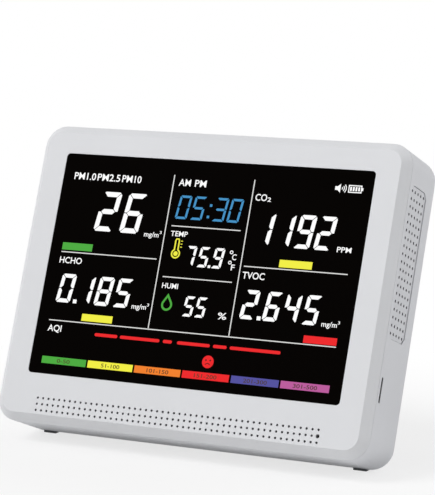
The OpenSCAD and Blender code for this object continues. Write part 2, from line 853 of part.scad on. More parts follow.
// Memory card socket: a flat housing, with a mouth that fills the slot in the side
module card_socket() color("#2A2B2E") as_stood()
    difference() {
        union() {
            slab(card_y - card_body_t / 2, card_y + card_body_t / 2)
                translate([card_x, card_z]) square([card_depth, card_l + 2.2], center = true);
            side_slab(1, side_x - cut, body_w / 2 - fit)
                translate([card_y, card_z])
                    round_rect(card_gap - 2 * gap, card_l - 2 * gap, card_gap / 2 - 1.5 * gap);
        }
        slab(card_y - card_gap / 2 + fit, card_y + card_gap / 2 - fit)
            translate([card_x + card_depth / 2, card_z])
                square([2 * card_depth - 3, card_l - 1], center = true);
    }

// ---------------------------------------------------------------- sound and light

module speaker_mesh() color("#2A2A2C") as_stood()
    slab(face_t + gap, face_t + gap + mesh_t)
        translate([-2.2, light_z]) square([2 * grille_half - 2, 9.2], center = true);

module speaker() color("#2E2F33") as_stood() {
    slab(speaker_y, speaker_y + 2.2)
        translate([0, speaker_z]) round_rect(speaker_w, speaker_h, 7);
    slab(speaker_y + 2.2, speaker_y + 5)
        translate([0, speaker_z]) round_rect(speaker_w - 8, speaker_h - 4, 5);
    bar(0, speaker_z, speaker_y + 5, speaker_y + speaker_t, 5.5);
}

module speaker_lead() color("#B02020") as_stood()
    flat_lead(socket_x(3), lead_w, [
        [speaker_y + 3.5, speaker_z + speaker_h / 2 - 1.5],
        [speaker_y + 3.5, frame_low - 2.5], [frame_rear + 2, frame_low - 1.2],
        [frame_rear + 2, socket_low - 9], [socket_y, socket_low - 6],
        [socket_y, socket_low - gap - lead_t]
    ], lead_t);

module light_sensor() color("#17181A") as_stood()
    bar(light_x, light_z, face_t + gap, face_t + 3, 2.4);

// ---------------------------------------------------------------- sensors

module pm_sensor_case() color("#D0D3D6") as_stood()
    difference() {
        union() {
            difference() {
                slab(pm_y, back_y - 2 * gap)
                    translate([pm_x, pm_z]) round_rect(pm_w, pm_h, 2);
                // fan chamber and the laser's air path beside it
                bar(fan_x, pm_z, pm_y - cut, fan_y + fan_t + 1, fan_r + fan_room);
                slab(pm_y - cut, pm_y + 12)
                    translate([pm_x + 15, pm_z])
                        square([14, pm_h - 4 * pm_wall], center = true);
            }
            bar(fan_x, pm_z, fan_y, fan_y + fan_t + 1 + gap, fan_pin_r);
        }
        // outlets in the case's end
        for (i = [-3 : 3])
            translate([pm_x + pm_w / 2 - 3, pm_y + 4, pm_z + i * 4.4 - 1.2])
                cube([6, 6, 2.4]);
    }

module pm_sensor_cover() color("#AEB2B6") as_stood()
    slab(pm_y - gap - 0.6, pm_y - gap)
        difference() {
            translate([pm_x, pm_z]) round_rect(pm_w, pm_h, 2);
            translate([fan_x, pm_z]) circle(r = fan_r - 2);
        }

// Centrifugal fan wheel on the case's fixed pin
module pm_fan_rotor() color("#2B2C2F") as_stood() {
    difference() {
        union() {
            bar(fan_x, pm_z, fan_y, fan_y + fan_t - 0.5, 4.5);
            bar(fan_x, pm_z, fan_y + fan_t - 1.7, fan_y + fan_t - 0.5, fan_r);
            for (a = [0 : 30 : 330])
                translate([fan_x, 0, pm_z])
                    rotate([0, a, 0])
                        translate([fan_r - 5, fan_y, -0.4])
                            cube([5, fan_t - 1, 0.8]);
        }
        bar(fan_x, pm_z, fan_y - cut, fan_y + fan_t + cut, fan_pin_r + run);
    }
}

module sensor_board() color("#1E6B3C") as_stood()
    slab(sensor_y, sensor_rear)
        difference() {
            translate([sensor_x, sensor_z]) round_rect(sensor_w, sensor_h, 1.5);
            for (sx = [-1, 1], sz = [-1, 1])
                translate([sensor_x + sx * (sensor_w / 2 - 3),
                    sensor_z + sz * (sensor_h / 2 - 3)])
                    circle(r = small_shank_r + hole_slack);
        }

module co2_sensor() color("#C9A227") as_stood() {
    slab(sensor_rear + gap, sensor_rear + 9)
        translate([sensor_x - 2, sensor_z + 10]) round_rect(30, 17, 2);
    slab(sensor_rear + 9, sensor_rear + 9.6)
        translate([sensor_x - 2, sensor_z + 10]) square([22, 11], center = true);
}

module formaldehyde_sensor() color("#E6E7E4") as_stood()
    difference() {
        bar(sensor_x + 8, sensor_z - 9, sensor_rear + gap, sensor_rear + 8, 8);
        bar(sensor_x + 8, sensor_z - 9, sensor_rear + 7, sensor_rear + 8 + cut, 3);
    }

module voc_sensor() color("#C4C7CB") as_stood() {
    bar(sensor_x - 8, sensor_z - 8, sensor_rear + gap, sensor_rear + 5, 4.6);
    bar(sensor_x - 8, sensor_z - 8, sensor_rear + 5, sensor_rear + 5.8, 3.2);
}

module humidity_sensor() color("#F2F2F0") as_stood()
    difference() {
        slab(sensor_rear + gap, sensor_rear + 3.2)
            translate([sensor_x - 8, sensor_z - 18]) square([9, 6.5], center = true);
        for (i = [-1, 0, 1])
            slab(sensor_rear + 2, sensor_rear + 3.2 + cut)
                translate([sensor_x - 8 + i * 2.4, sensor_z - 18]) square([1, 4], center = true);
    }

// ---------------------------------------------------------------- keys

module button_board() color("#1E6B3C") as_stood()
    translate([0, 0, button_board_z])
        linear_extrude(height = board_t)
            difference() {
                translate([5, key_y - 6]) square([78, button_post_y - key_y + 9]);
                for (x = button_post_x)
                    translate([x, button_post_y]) circle(r = small_shank_r + hole_slack);
            }

module tact_switches() color("#2C2D30") as_stood()
    for (kx = key_spots, s = [-1, 1])
        translate([kx + s * press_x, key_y, button_board_z + board_t]) {
            translate([-3, -3, 0]) cube([6, 6, 3.4]);
            cylinder(h = switch_t, r = 1.75);
        }

// Rocker key: a pill over a flange, on a hinge shaft, with a nub over each switch
module rocker_key(x)
    translate([x, key_y, 0]) {
        translate([0, 0, flange_top - key_flange])
            linear_extrude(height = key_top - flange_top + key_flange)
                round_rect(key_l, key_w, key_r);
        translate([0, 0, flange_top - key_flange])
            linear_extrude(height = key_flange)
                round_rect(key_l + 2, key_w + 2, key_r + 1);
        translate([-1.6, -key_w / 2 + 0.5, key_hinge_z])
            cube([3.2, key_w - 1, flange_top - key_flange - key_hinge_z + gap]);
        translate([0, key_hinge_l / 2, key_hinge_z])
            rotate([90, 0, 0]) cylinder(h = key_hinge_l, r = key_hinge_r);
        for (s = [-1, 1])
            translate([s * press_x, 0, key_bottom])
                cylinder(h = flange_top - key_flange - key_bottom + gap, r = 1.5);
    }

module key_outer() color("#D3D4D7") as_stood() rocker_key(key_spots[0]);
module key_inner() color("#D3D4D7") as_stood() rocker_key(key_spots[1]);

// ---------------------------------------------------------------- stand

// Swings a piece drawn folded out to the open stop
module as_open()
    translate([0, hinge_y, hinge_z])
        rotate([stand_open, 0, 0])
            translate([0, -hinge_y, -hinge_z])
                children();

module stand() color("#D0D1D4") as_stood() as_open()
    difference() {
        union() {
            slab(hinge_y - stand_t / 2, hinge_y + stand_t / 2) stand_outline(0, hinge_z);
            for (s = [-1, 1])
                translate([s * arm_x - arm_w / 2, 0, 0])
                    rotate([90, 0, 90])
                        linear_extrude(height = arm_w) {
                            translate([hinge_y, hinge_z]) circle(r = stand_t / 2);
                            translate([hinge_y - stand_t / 2, hinge_z])
                                square([stand_t / 2, heel_l]);
                        }
        }
        for (s = [-1, 1])
            translate([s * arm_x, 0, 0]) {
                translate([-slot_w / 2, hinge_y - stand_t, hinge_z - slot_l + slot_w / 2])
                    cube([slot_w, 2 * stand_t, slot_l + stand_t]);
                bar(0, hinge_z - slot_l + slot_w / 2, hinge_y - stand_t, hinge_y + stand_t,
                    slot_w / 2);
                translate([-pin_l / 2, hinge_y, hinge_z])
                    rotate([0, 90, 0]) cylinder(h = pin_l, r = pin_r + run);
            }
        for (s = [-1, 1])
            bar(s * (stand_w / 2 + groove_gap + 0.45), hinge_z - catch_z,
                hinge_y - stand_t, hinge_y + stand_t, catch_r + fit);
        translate([-pad_w / 2 - gap, hinge_y - pad_t / 2 - gap, hinge_z - stand_l - cut])
            cube([pad_w + 2 * gap, pad_t + 2 * gap, pad_h - foot_proud + cut + gap]);
    }

module stand_pad() color("#6E7073") as_stood() as_open()
    translate([-pad_w / 2, hinge_y - pad_t / 2, hinge_z - stand_l - foot_proud])
        cube([pad_w, pad_t, pad_h]);

module stand_pins() color("#9FA3A8") as_stood()
    for (s = [-1, 1])
        translate([s * arm_x - pin_l / 2 + gap, hinge_y, hinge_z])
            rotate([0, 90, 0]) cylinder(h = pin_l - 2 * gap, r = pin_r);

// ---------------------------------------------------------------- small screws

module small_screw(x, z, y)
    screw(x, z, y, small_shank_r, small_l, small_head_r, small_head_t);

// The same screw, driven towards the back
module small_screw_back(x, z, y)
    translate([0, y, 0])
        mirror([0, 1, 0])
            small_screw(x, z, 0);

module small_screws() color("#8D9196") as_stood() {
    for (p = ear_spots) small_screw(p[0], p[1], frame_rear + gap);
    for (sx = [-1, 1], sz = [-1, 1])
        small_screw(main_x + sx * (main_w / 2 - 4), main_z + sz * (main_h / 2 - 4),
            main_y + board_t + gap);
    small_screw(side_x - 6.5, card_post_z, card_board_y + card_board_t + gap);
    for (sx = [-1, 1], sz = [-1, 1])
        small_screw_back(sensor_x + sx * (sensor_w / 2 - 3),
            sensor_z + sz * (sensor_h / 2 - 3), sensor_y - gap);
    for (sz = [-1, 1])
        small_screw_back(power_x + 3, usb_z + sz * (power_h / 2 - 3), power_y - gap);
    for (x = button_post_x)
        translate([x, button_post_y, button_board_z - gap])
            rotate([90, 0, 0])
                small_screw_back(0, 0, 0);
}

front_shell();
rear_shell();
display_window();
window_adhesive();
lcd_panel();
backlight();
display_frame();
display_ribbon();
main_board();
main_board_parts();
battery_cell();
battery_pad();
battery_lead();
speaker();
speaker_mesh();
speaker_lead();
light_sensor();
pm_sensor_case();
pm_sensor_cover();
pm_fan_rotor();
sensor_board();
co2_sensor();
formaldehyde_sensor();
voc_sensor();
humidity_sensor();
usb_c_socket();
power_board();
card_socket();
card_board();
button_board();
tact_switches();
key_outer();
key_inner();
vent_grille_right();
vent_grille_left();
stand();
stand_pins();
stand_pad();
foot_pads();
case_screws();
small_screws();
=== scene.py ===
"""Desktop air quality monitor on its folding rear stand: the finished look of each piece."""

import json
import math

import bmesh
import bpy
from mathutils import Matrix, Vector


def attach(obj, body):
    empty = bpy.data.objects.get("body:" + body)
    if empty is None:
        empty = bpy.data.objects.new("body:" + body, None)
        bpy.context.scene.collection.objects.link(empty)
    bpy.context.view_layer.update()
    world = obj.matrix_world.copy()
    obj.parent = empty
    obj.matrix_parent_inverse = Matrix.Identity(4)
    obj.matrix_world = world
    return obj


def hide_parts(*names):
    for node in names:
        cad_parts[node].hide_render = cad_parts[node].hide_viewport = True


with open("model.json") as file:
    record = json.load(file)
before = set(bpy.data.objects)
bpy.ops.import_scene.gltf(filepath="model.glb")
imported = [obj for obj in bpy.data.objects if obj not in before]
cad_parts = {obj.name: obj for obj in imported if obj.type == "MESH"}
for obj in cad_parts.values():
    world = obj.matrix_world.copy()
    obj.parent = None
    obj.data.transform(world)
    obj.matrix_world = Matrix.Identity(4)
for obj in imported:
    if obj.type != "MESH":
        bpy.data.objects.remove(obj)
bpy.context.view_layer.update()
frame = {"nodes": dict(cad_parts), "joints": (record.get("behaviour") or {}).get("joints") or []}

# ------------------------------------------------------------------ camera
# A long lens from the right and a little above, at nearly the height of the display.
# The display faces the viewer's left.
camera = bpy.data.objects.new("camera", bpy.data.cameras.new("camera"))
bpy.context.scene.collection.objects.link(camera)
bpy.context.scene.camera = camera
camera.data.sensor_width = 36
camera.data.lens = 169
camera.data.clip_end = 50
look = Vector((-0.4514, 0.8825, -0.1324)).normalized()
side = look.cross(Vector((-0.0690, 0.1134, 0.9912))).normalized()
over = side.cross(look)
turn = Matrix((side, over, -look)).transposed().to_4x4()
camera.matrix_world = Matrix.Translation((0.5175, -1.0086, 0.2510)) @ turn

# ------------------------------------------------------------------ studio
# White paper under and behind the object, one soft lamp at the front left, a weaker one from
# behind on the right, and an even sky. Far from the object the paper burns out to plain white.


def linear(code):
    """An sRGB hex colour as the linear colour that the shaders take."""
    parts = [int(code[i:i + 2], 16) / 255 for i in (1, 3, 5)]
    return [c / 12.92 if c <= 0.04045 else ((c + 0.055) / 1.055) ** 2.4 for c in parts] + [1]


def add_node(tree, kind, inputs=None, **settings):
    """Adds a node. An input is a plain value, or the output socket that it is linked to."""
    made = tree.nodes.new(kind)
    for name, value in settings.items():
        setattr(made, name, value)
    for name, value in (inputs or {}).items():
        if isinstance(value, bpy.types.NodeSocket):
            tree.links.new(value, made.inputs[name])
        else:
            made.inputs[name].default_value = value
    return made


def seen_directly(tree):
    """1 where the camera, a reflection or a view through glass looks, and 0 for other light."""
    path = add_node(tree, "ShaderNodeLightPath")
    either = add_node(tree, "ShaderNodeMath", {
        0: path.outputs["Is Camera Ray"], 1: path.outputs["Is Glossy Ray"]}, operation="MAXIMUM")
    return add_node(tree, "ShaderNodeMath", {
        0: either.outputs[0], 1: path.outputs["Is Transmission Ray"]},
        operation="MAXIMUM").outputs[0]


sky = bpy.data.worlds.new("sky")
bpy.context.scene.world = sky
sky.use_nodes = True
sky.node_tree.nodes.clear()
even = add_node(sky.node_tree, "ShaderNodeBackground", {
    "Color": linear("#FFFFFF"), "Strength": 0.46})
white = add_node(sky.node_tree, "ShaderNodeBackground", {
    "Color": linear("#FFFFFF"), "Strength": 1.0})
sky_mix = add_node(sky.node_tree, "ShaderNodeMixShader", {
    0: seen_directly(sky.node_tree), 1: even.outputs[0], 2: white.outputs[0]})
add_node(sky.node_tree, "ShaderNodeOutputWorld", {"Surface": sky_mix.outputs[0]})

for name, towards, strength, spread in (
        ("front_lamp", (-0.45, -0.50, 0.72), 1.45, 30),
        ("back_lamp", (0.75, 0.65, 0.40), 0.66, 40)):
    lamp = bpy.data.objects.new(name, bpy.data.lights.new(name, "SUN"))
    bpy.context.scene.collection.objects.link(lamp)
    lamp.data.energy = strength
    lamp.data.angle = math.radians(spread)
    lamp.rotation_euler = Vector(towards).to_track_quat("Z", "Y").to_euler()

paper = bpy.data.materials.new("white_paper")
paper.use_nodes = True
tree = paper.node_tree
tree.nodes.clear()
matt = add_node(tree, "ShaderNodeBsdfDiffuse", {"Color": linear("#F4F4F4")})
burnt = add_node(tree, "ShaderNodeEmission", {"Color": linear("#FFFFFF"), "Strength": 1.0})
where = add_node(tree, "ShaderNodeTexCoord")
reach = add_node(tree, "ShaderNodeVectorMath", {0: where.outputs["Object"]}, operation="LENGTH")
far = add_node(tree, "ShaderNodeMapRange", {
    "Value": reach.outputs["Value"], "From Min": 0.10, "From Max": 0.30,
    "To Min": 0.72, "To Max": 1.0}, interpolation_type="SMOOTHSTEP")
burn = add_node(tree, "ShaderNodeMath", {
    0: far.outputs[0], 1: seen_directly(tree)}, operation="MULTIPLY")
mixed = add_node(tree, "ShaderNodeMixShader", {
    0: burn.outputs[0], 1: matt.outputs[0], 2: burnt.outputs[0]})
add_node(tree, "ShaderNodeOutputMaterial", {"Surface": mixed.outputs[0]})

floor_mesh = bpy.data.meshes.new("floor")
floor_mesh.from_pydata([(-9, -9, 0), (9, -9, 0), (9, 9, 0), (-9, 9, 0)], [], [(0, 1, 2, 3)])
floor_mesh.materials.append(paper)
floor = bpy.data.objects.new("floor", floor_mesh)
bpy.context.scene.collection.objects.link(floor)

# ------------------------------------------------------------------ case
# Two moulded ABS shells, screwed together from behind. The mould was spark-eroded, which
# leaves a fine even grain on a matt light grey, and the seam between them shows as a line.


def moulded(name, colour, roughness=0.5, grain=0.6, depth=0.05, shade_reach=0,
            painted_shade_tone="#1C1D1F"):
    """Moulded plastic: one body colour with a faint drift, and a grain of that size in mm. Holes
    and corners narrower than the shade reach, in mm, get painted shade: their colour goes towards
    the shade tone where little light can reach."""
    made = bpy.data.materials.new(name)
    made.use_nodes = True
    tree = made.node_tree
    shader = tree.nodes["Principled BSDF"]
    shader.inputs["IOR"].default_value = 1.53
    place = add_node(tree, "ShaderNodeTexCoord").outputs["Object"]
    drift = add_node(tree, "ShaderNodeTexNoise", {"Vector": place, "Scale": 28, "Detail": 2})
    low, high = [[c * k for c in linear(colour)[:3]] + [1] for k in (0.975, 1.025)]
    tint = add_node(tree, "ShaderNodeMix", {
        0: drift.outputs[0], 6: low, 7: high}, data_type="RGBA")
    body = tint.outputs[2]
    # Painted shade: ambient occlusion darkens the body colour in narrow holes and corners.
    if shade_reach:
        open_sky = add_node(tree, "ShaderNodeAmbientOcclusion", {"Distance": shade_reach / 1000},
                            samples=6, only_local=True)
        painted_shade_mask = add_node(tree, "ShaderNodeMapRange", {
            "Value": open_sky.outputs["AO"], "From Min": 0.25, "From Max": 0.85,
            "To Min": 0.12, "To Max": 1.0})
        body = add_node(tree, "ShaderNodeMix", {
            0: painted_shade_mask.outputs[0], 6: linear(painted_shade_tone), 7: body}, data_type="RGBA").outputs[2]
    tree.links.new(body, shader.inputs["Base Color"])
    fine = add_node(tree, "ShaderNodeTexNoise", {
        "Vector": place, "Scale": 1000 / grain, "Detail": 3, "Roughness": 0.6})
    sheen = add_node(tree, "ShaderNodeMapRange", {
        "Value": fine.outputs[0], "To Min": roughness - 0.06, "To Max": roughness + 0.06})
    tree.links.new(sheen.outputs[0], shader.inputs["Roughness"])
    bump = add_node(tree, "ShaderNodeBump", {
        "Height": fine.outputs[0], "Strength": depth * 4, "Distance": 0.0001})
    tree.links.new(bump.outputs[0], shader.inputs["Normal"])
    return made


def finish_as(material, *nodes):
    """Gives CAD pieces their material."""
    for name in nodes:
        mesh = frame["nodes"][name].data
        mesh.materials.clear()
        mesh.materials.append(material)


# The front is the lightest, and painted shade turns its grille holes a mid grey. The rear's own
# colour
#  is a little darker, and painted shade turns its vents, ports and recesses nearly black, as it
#  does the grilles' holes.
finish_as(moulded("abs_front_grey", "#DEDFE2", shade_reach=2, painted_shade_tone="#8A8B8F"), "front_shell")
finish_as(moulded("abs_shell_grey", "#D3D4D8", shade_reach=4), "rear_shell")
finish_as(moulded("abs_grille_grey", "#CFD0D4", shade_reach=2), "vent_grille_right",
          "vent_grille_left")

# ------------------------------------------------------------------ placing
# Pieces made here are drawn upright in millimetres, from the front face back and from the
# underside up, and are then leaned back to where the stand's hinge and the keys' shafts are.
joints = {joint["name"]: joint for joint in frame["joints"]}
lean = math.asin(-joints["outer_key_rock"]["axis"][2])
hinge_depth, hinge_height = 39.4, 69.5
lean_back = Matrix.Rotation(-lean, 4, "X") @ Matrix.Scale(0.001, 4)
hinge_at = Vector(joints["stand_hinge"]["pos_m"])
hinge_offset = lean_back @ Vector((0, hinge_depth, hinge_height))
stood = Matrix.Translation(hinge_at - hinge_offset) @ lean_back


def piece(name, mesh, material, body, place=stood, replaced=()):
    """A finished piece: its mesh put in place, its finish, and the body that it rides on."""
    mesh.transform(place)
    mesh.materials.clear()
    mesh.materials.append(material)
    made = bpy.data.objects.new(name, mesh)
    bpy.context.scene.collection.objects.link(made)
    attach(made, body)
    if replaced:
        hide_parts(*replaced)
    return made


# ------------------------------------------------------------------ display
# Black cover glass over a segment display. The lit marks are flat shapes on its face: slanted
# seven-segment figures, rules between the fields, scale bars and small symbols.
# The glass is all but black and barely reflects, so the marks stand out on it. Faint wipe marks
# vary its gloss.
glass = bpy.data.materials.new("black_cover_glass")
glass.use_nodes = True
shader = glass.node_tree.nodes["Principled BSDF"]
shader.inputs["Base Color"].default_value = linear("#050302")
shader.inputs["IOR"].default_value = 1.5
shader.inputs["Specular IOR Level"].default_value = 0.01
smear = add_node(glass.node_tree, "ShaderNodeTexNoise", {
    "Vector": add_node(glass.node_tree, "ShaderNodeTexCoord").outputs["Object"],
    "Scale": 60, "Detail": 3})
wipe = add_node(glass.node_tree, "ShaderNodeMapRange", {
    "Value": smear.outputs[0], "To Min": 0.08, "To Max": 0.16})
glass.node_tree.links.new(wipe.outputs[0], shader.inputs["Roughness"])
finish_as(glass, "display_window")

display_z = 81  # the display's middle, above the underside
lit_y = 0.09  # the cover glass stands back from the front face, and the marks lie on it


def lit(name, colour):
    """A lit field of the display: it gives off its own colour and hardly reflects."""
    made = bpy.data.materials.new(name)
    made.use_nodes = True
    shader = made.node_tree.nodes["Principled BSDF"]
    shader.inputs["Base Color"].default_value = linear("#050505")
    shader.inputs["Roughness"].default_value = 0.4
    shader.inputs["Specular IOR Level"].default_value = 0.1
    shader.inputs["Emission Color"].default_value = linear(colour)
    shader.inputs["Emission Strength"].default_value = 1.0
    return made


def flat_shapes(name, shapes, placed):
    """A mesh of flat outlines, wound the same way round. placed puts a flat point in space."""
    points, faces = [], []
    for shape in shapes:
        area = sum(a[0] * b[1] - b[0] * a[1] for a, b in zip(shape, shape[1:] + shape[:1]))
        ordered = shape if area > 0 else shape[::-1]
        faces.append(list(range(len(points), len(points) + len(ordered))))
        points += [placed(*point) for point in ordered]
    mesh = bpy.data.meshes.new(name)
    mesh.from_pydata(points, [], faces)
    return mesh


def flat_mesh(name, shapes, y=lit_y):
    """Flat outlines facing the front, measured from the display's middle."""
    return flat_shapes(name, shapes, lambda x, z: (x, y, z + display_z))


def block(x0, z0, x1, z1):
    return [(x0, z0), (x1, z0), (x1, z1), (x0, z1)]


def disc(x, z, r, n=28):
    return [(x + r * math.cos(2 * math.pi * i / n), z + r * math.sin(2 * math.pi * i / n))
            for i in range(n)]


def band(outer, inner):
    """The closed strip between two outlines with as many points each."""
    n = len(outer)
    return [[outer[i], outer[(i + 1) % n], inner[(i + 1) % n], inner[i]] for i in range(n)]


LIT_SEGMENTS = {
    "0": "abcdef", "1": "bc", "2": "abged", "3": "abgcd", "4": "fgbc",
    "5": "afgcd", "6": "afgedc", "7": "abc", "8": "abcdefg", "9": "abcdfg"}


def figure(digit, x, z, w, h, t, slant=0.125, gap=0.22):
    """One seven-segment figure, its lower left corner at x, z."""
    m = h / 2
    segments = {
        "a": [(gap + 0.45 * t, h), (w - gap - 0.45 * t, h), (w - gap - 0.2 * t, h - 0.2 * t),
              (w - t - gap, h - t), (t + gap, h - t), (gap + 0.2 * t, h - 0.2 * t)],
        "g": [(t / 2 + gap, m), (t + gap, m + t / 2), (w - t - gap, m + t / 2),
              (w - t / 2 - gap, m), (w - t - gap, m - t / 2), (t + gap, m - t / 2)],
        "f": [(0, h - gap - 0.45 * t), (0, m + gap), (t / 2, m + gap), (t, m + t / 2 + gap),
              (t, h - t - gap), (0.2 * t, h - gap - 0.2 * t)]}
    segments["d"] = [(px, h - pz) for px, pz in segments["a"]]
    segments["e"] = [(px, h - pz) for px, pz in segments["f"]]
    segments["b"] = [(w - px, pz) for px, pz in segments["f"]]
    segments["c"] = [(w - px, h - pz) for px, pz in segments["f"]]
    return [[(x + px + slant * pz, z + pz) for px, pz in segments[s]]
            for s in LIT_SEGMENTS[digit]]


def reading(figures, z, w, h, t):
    """Figures at their own places along a row, with a point where the digit is '.'."""
    shapes = []
    for digit, x in figures:
        if digit == ".":
            shapes.append(block(x, z, x + t * 1.05, z + t))
        else:
            shapes += figure(digit, x, z, w, h, t)
    return shapes


white_light = lit("lit_white", "#FFFFFF")
readings = (
    reading((("2", -62.4), ("6", -47.8)), 17.6, 10.6, 20.3, 2.5)
    + reading((("0", -76.7), (".", -66.6), ("1", -65.6), ("8", -54.9), ("5", -44.2)),
              -20, 8.2, 14.6, 1.95)
    + reading((("1", 26.2), ("1", 37.0), ("9", 47.9), ("2", 58.6)), 16.4, 8.6, 16.6, 2.1)
    + reading((("2", 25.8), (".", 35.3), ("6", 37.9), ("4", 48.1), ("5", 58.5)),
              -20, 7.7, 14.4, 1.95)
    + reading((("7", -9.2), ("5", -1.8), (".", 4.6), ("9", 6.1)), 3.4, 5.4, 10.2, 1.35)
    + reading((("5", -5.2), ("5", 1.4)), -21.4, 5.4, 10.1, 1.35))
piece("display_readings", flat_mesh("display_readings", readings), white_light, "case")

blue_light = lit("lit_blue", "#3D8FC4")
clock = reading((("0", -18.0), ("5", -9.7), ("3", 2.3), ("0", 10.4)), 26.7, 6.5, 11.9, 1.15)
clock += [block(-0.5, 28.0, 0.8, 29.3), block(0.2, 33.8, 1.5, 35.1)]
piece("display_clock", flat_mesh("display_clock", clock), blue_light, "case")

rules = [
    block(-22.25, -28.9, -21.7, 48.7), block(21.9, -28.9, 22.45, 48.7),
    block(-78.3, 5.45, -24.0, 5.95), block(24.0, 5.45, 78.6, 5.95),
    block(-18.9, 22.75, 19.0, 23.25), block(-18.9, -2.95, 19.0, -2.45),
    block(-78.3, -29.6, 78.6, -29.1)]
piece("display_rules", flat_mesh("display_rules", rules), lit("lit_rule", "#DEDEDC"), "case")

# Scale bars: short ones by the readings, and the six-step scale along the bottom.
bars = {
    "green": ("#46A838", [(-78.3, 6.8, -61.0, 10.5), (-78.3, -51.3, -53.0, -47.7)]),
    "yellow": ("#F0ED3E", [(-60.0, -28.4, -42.6, -24.8), (42.4, 6.6, 59.7, 10.3),
                           (-52.0, -51.3, -26.7, -47.7)]),
    "orange": ("#F07D20", [(-25.7, -51.3, -0.3, -47.7)]),
    "red": ("#EC1A1E", [(61.3, -28.7, 78.6, -25.1), (0.7, -51.3, 26.0, -47.7)]),
    "violet": ("#4E4C9C", [(27.1, -51.3, 52.3, -47.7)]),
    "magenta": ("#B9589A", [(53.3, -51.3, 78.6, -47.7)])}
bar_lights = {}
for name, (colour, places) in bars.items():
    bar_lights[name] = lit("lit_" + name, colour)
    piece("display_bars_" + name,
          flat_mesh("display_bars_" + name, [block(*place) for place in places]),
          bar_lights[name], "case")


capital = 0.73  # the height of the built-in face's capitals, at size 1


def lettering(name, rows, y, heavier=0.012):
    """Plain upright lettering as one flat mesh. A row is its text, left edge, foot, the height
    of its capitals and its width, all in millimetres."""
    whole = bmesh.new()
    for text, x, z, tall, wide in rows:
        curve = bpy.data.curves.new(name, "FONT")
        curve.body = text
        curve.resolution_u = 3
        curve.offset = heavier
        holder = bpy.data.objects.new(name, curve)
        bpy.context.scene.collection.objects.link(holder)
        bpy.context.view_layer.update()
        mesh = bpy.data.meshes.new_from_object(
            holder.evaluated_get(bpy.context.evaluated_depsgraph_get()))
        bpy.data.objects.remove(holder)
        xs = [v.co.x for v in mesh.vertices]
        left, across = min(xs), max(xs) - min(xs)
        for v in mesh.vertices:
            v.co = (x + (v.co.x - left) * wide / across, y,
                    display_z + z + v.co.y * tall / capital)
        whole.from_mesh(mesh)
        bpy.data.meshes.remove(mesh)
    mesh = bpy.data.meshes.new(name)
    bmesh.ops.remove_doubles(whole, verts=whole.verts, dist=1e-5)
    for face in whole.faces:
        if face.normal.y > 0:
            face.normal_flip()
    whole.to_mesh(mesh)
    whole.free()
    return mesh


marks = [
    ("PM1.0", -78.6, 43.4, 3.7, 12.4), ("PM2.5", -65.2, 43.4, 3.7, 13.0),
    ("PM10", -51.0, 43.4, 3.7, 10.9), ("AM", -18.9, 43.4, 3.6, 6.6), ("PM", -10.0, 43.4, 3.6, 6.3),
    ("CO", 24.0, 38.5, 3.5, 6.3), ("2", 30.6, 38.3, 2.2, 1.9),
    ("HCHO", -78.4, 0.0, 3.3, 12.8), ("TVOC", 24.0, -0.3, 3.5, 11.9),
    ("TEMP", -18.6, 17.9, 2.7, 9.4), ("HUMI", -18.4, -8.3, 2.7, 8.8),
    ("AQI", -78.1, -34.9, 3.4, 7.8), ("PPM", 71.1, 16.1, 2.7, 7.5),
    ("mg/m", -33.3, 16.6, 2.6, 8.2), ("3", -24.8, 18.4, 1.5, 1.1),
    ("mg/m", -33.2, -19.9, 2.6, 8.1), ("3", -24.8, -18.2, 1.5, 1.1),
    ("mg/m", 69.3, -20.1, 2.6, 8.0), ("3", 77.6, -18.4, 1.5, 1.1),
    ("C", 16.9, 8.3, 3.0, 2.3), ("F", 17.2, 3.2, 3.0, 1.9), ("%", 14.5, -21.2, 3.4, 4.7)]
piece("display_marks", lettering("display_marks", marks, lit_y), white_light, "case")
ranges = [
    ("0-50", -69.6, -50.5, 2.0, 7.4), ("51-100", -44.4, -50.5, 2.0, 10.4),
    ("101-150", -18.8, -50.5, 2.0, 12.0), ("151-200", 7.2, -50.5, 2.0, 12.2),
    ("201-300", 33.6, -50.5, 2.0, 12.6), ("301-500", 59.8, -50.5, 2.0, 12.6)]
piece("display_ranges", lettering("display_ranges", ranges, lit_y - 0.02),
      lit("lit_range_ink", "#4A3420"), "case")

# Small symbols: a thermometer, a drop, two degree rings, a speaker, a battery, a face over the
# fourth step of the scale, and one bar for each word of the message along the bottom.


def around_bulb(r, stem_x, top):
    """A thermometer's outline: round the bulb from one side of the stem to the other."""
    start = math.asin(stem_x / r)
    ring = [(r * math.sin(a), r * math.cos(a)) for a in
            [start + (2 * math.pi - 2 * start) * i / 30 for i in range(31)]]
    return ring + [(-stem_x, top), (-stem_x * 0.6, top + stem_x * 0.8),
                   (stem_x * 0.6, top + stem_x * 0.8), (stem_x, top)]


def shifted(shapes, x, z):
    return [[(px + x, pz + z) for px, pz in shape] for shape in shapes]


bulb = band(around_bulb(2.5, 1.35, 6.6), around_bulb(1.75, 0.6, 6.6))
ticks = [block(1.9, z, 2.9, z + 0.45) for z in (3.2, 4.7, 6.2)]
thermometer = shifted(bulb + [disc(0, 0, 1.2)] + ticks, -14.1, 9.2)
piece("display_thermometer", flat_mesh("display_thermometer", thermometer),
      bar_lights["yellow"], "case")


def drop(r, tip):
    """A drop's outline: a circle drawn up to a point."""
    bend = math.acos(r / tip)
    turns = [math.pi / 2 + bend + (2 * math.pi - 2 * bend) * i / 30 for i in range(31)]
    return [(0, tip)] + [(r * math.cos(a), r * math.sin(a)) for a in turns]


piece("display_drop", flat_mesh("display_drop", shifted(
    band(drop(3.0, 5.7), drop(1.95, 3.7)), -14.1, -16.5)),
    bar_lights["green"], "case")

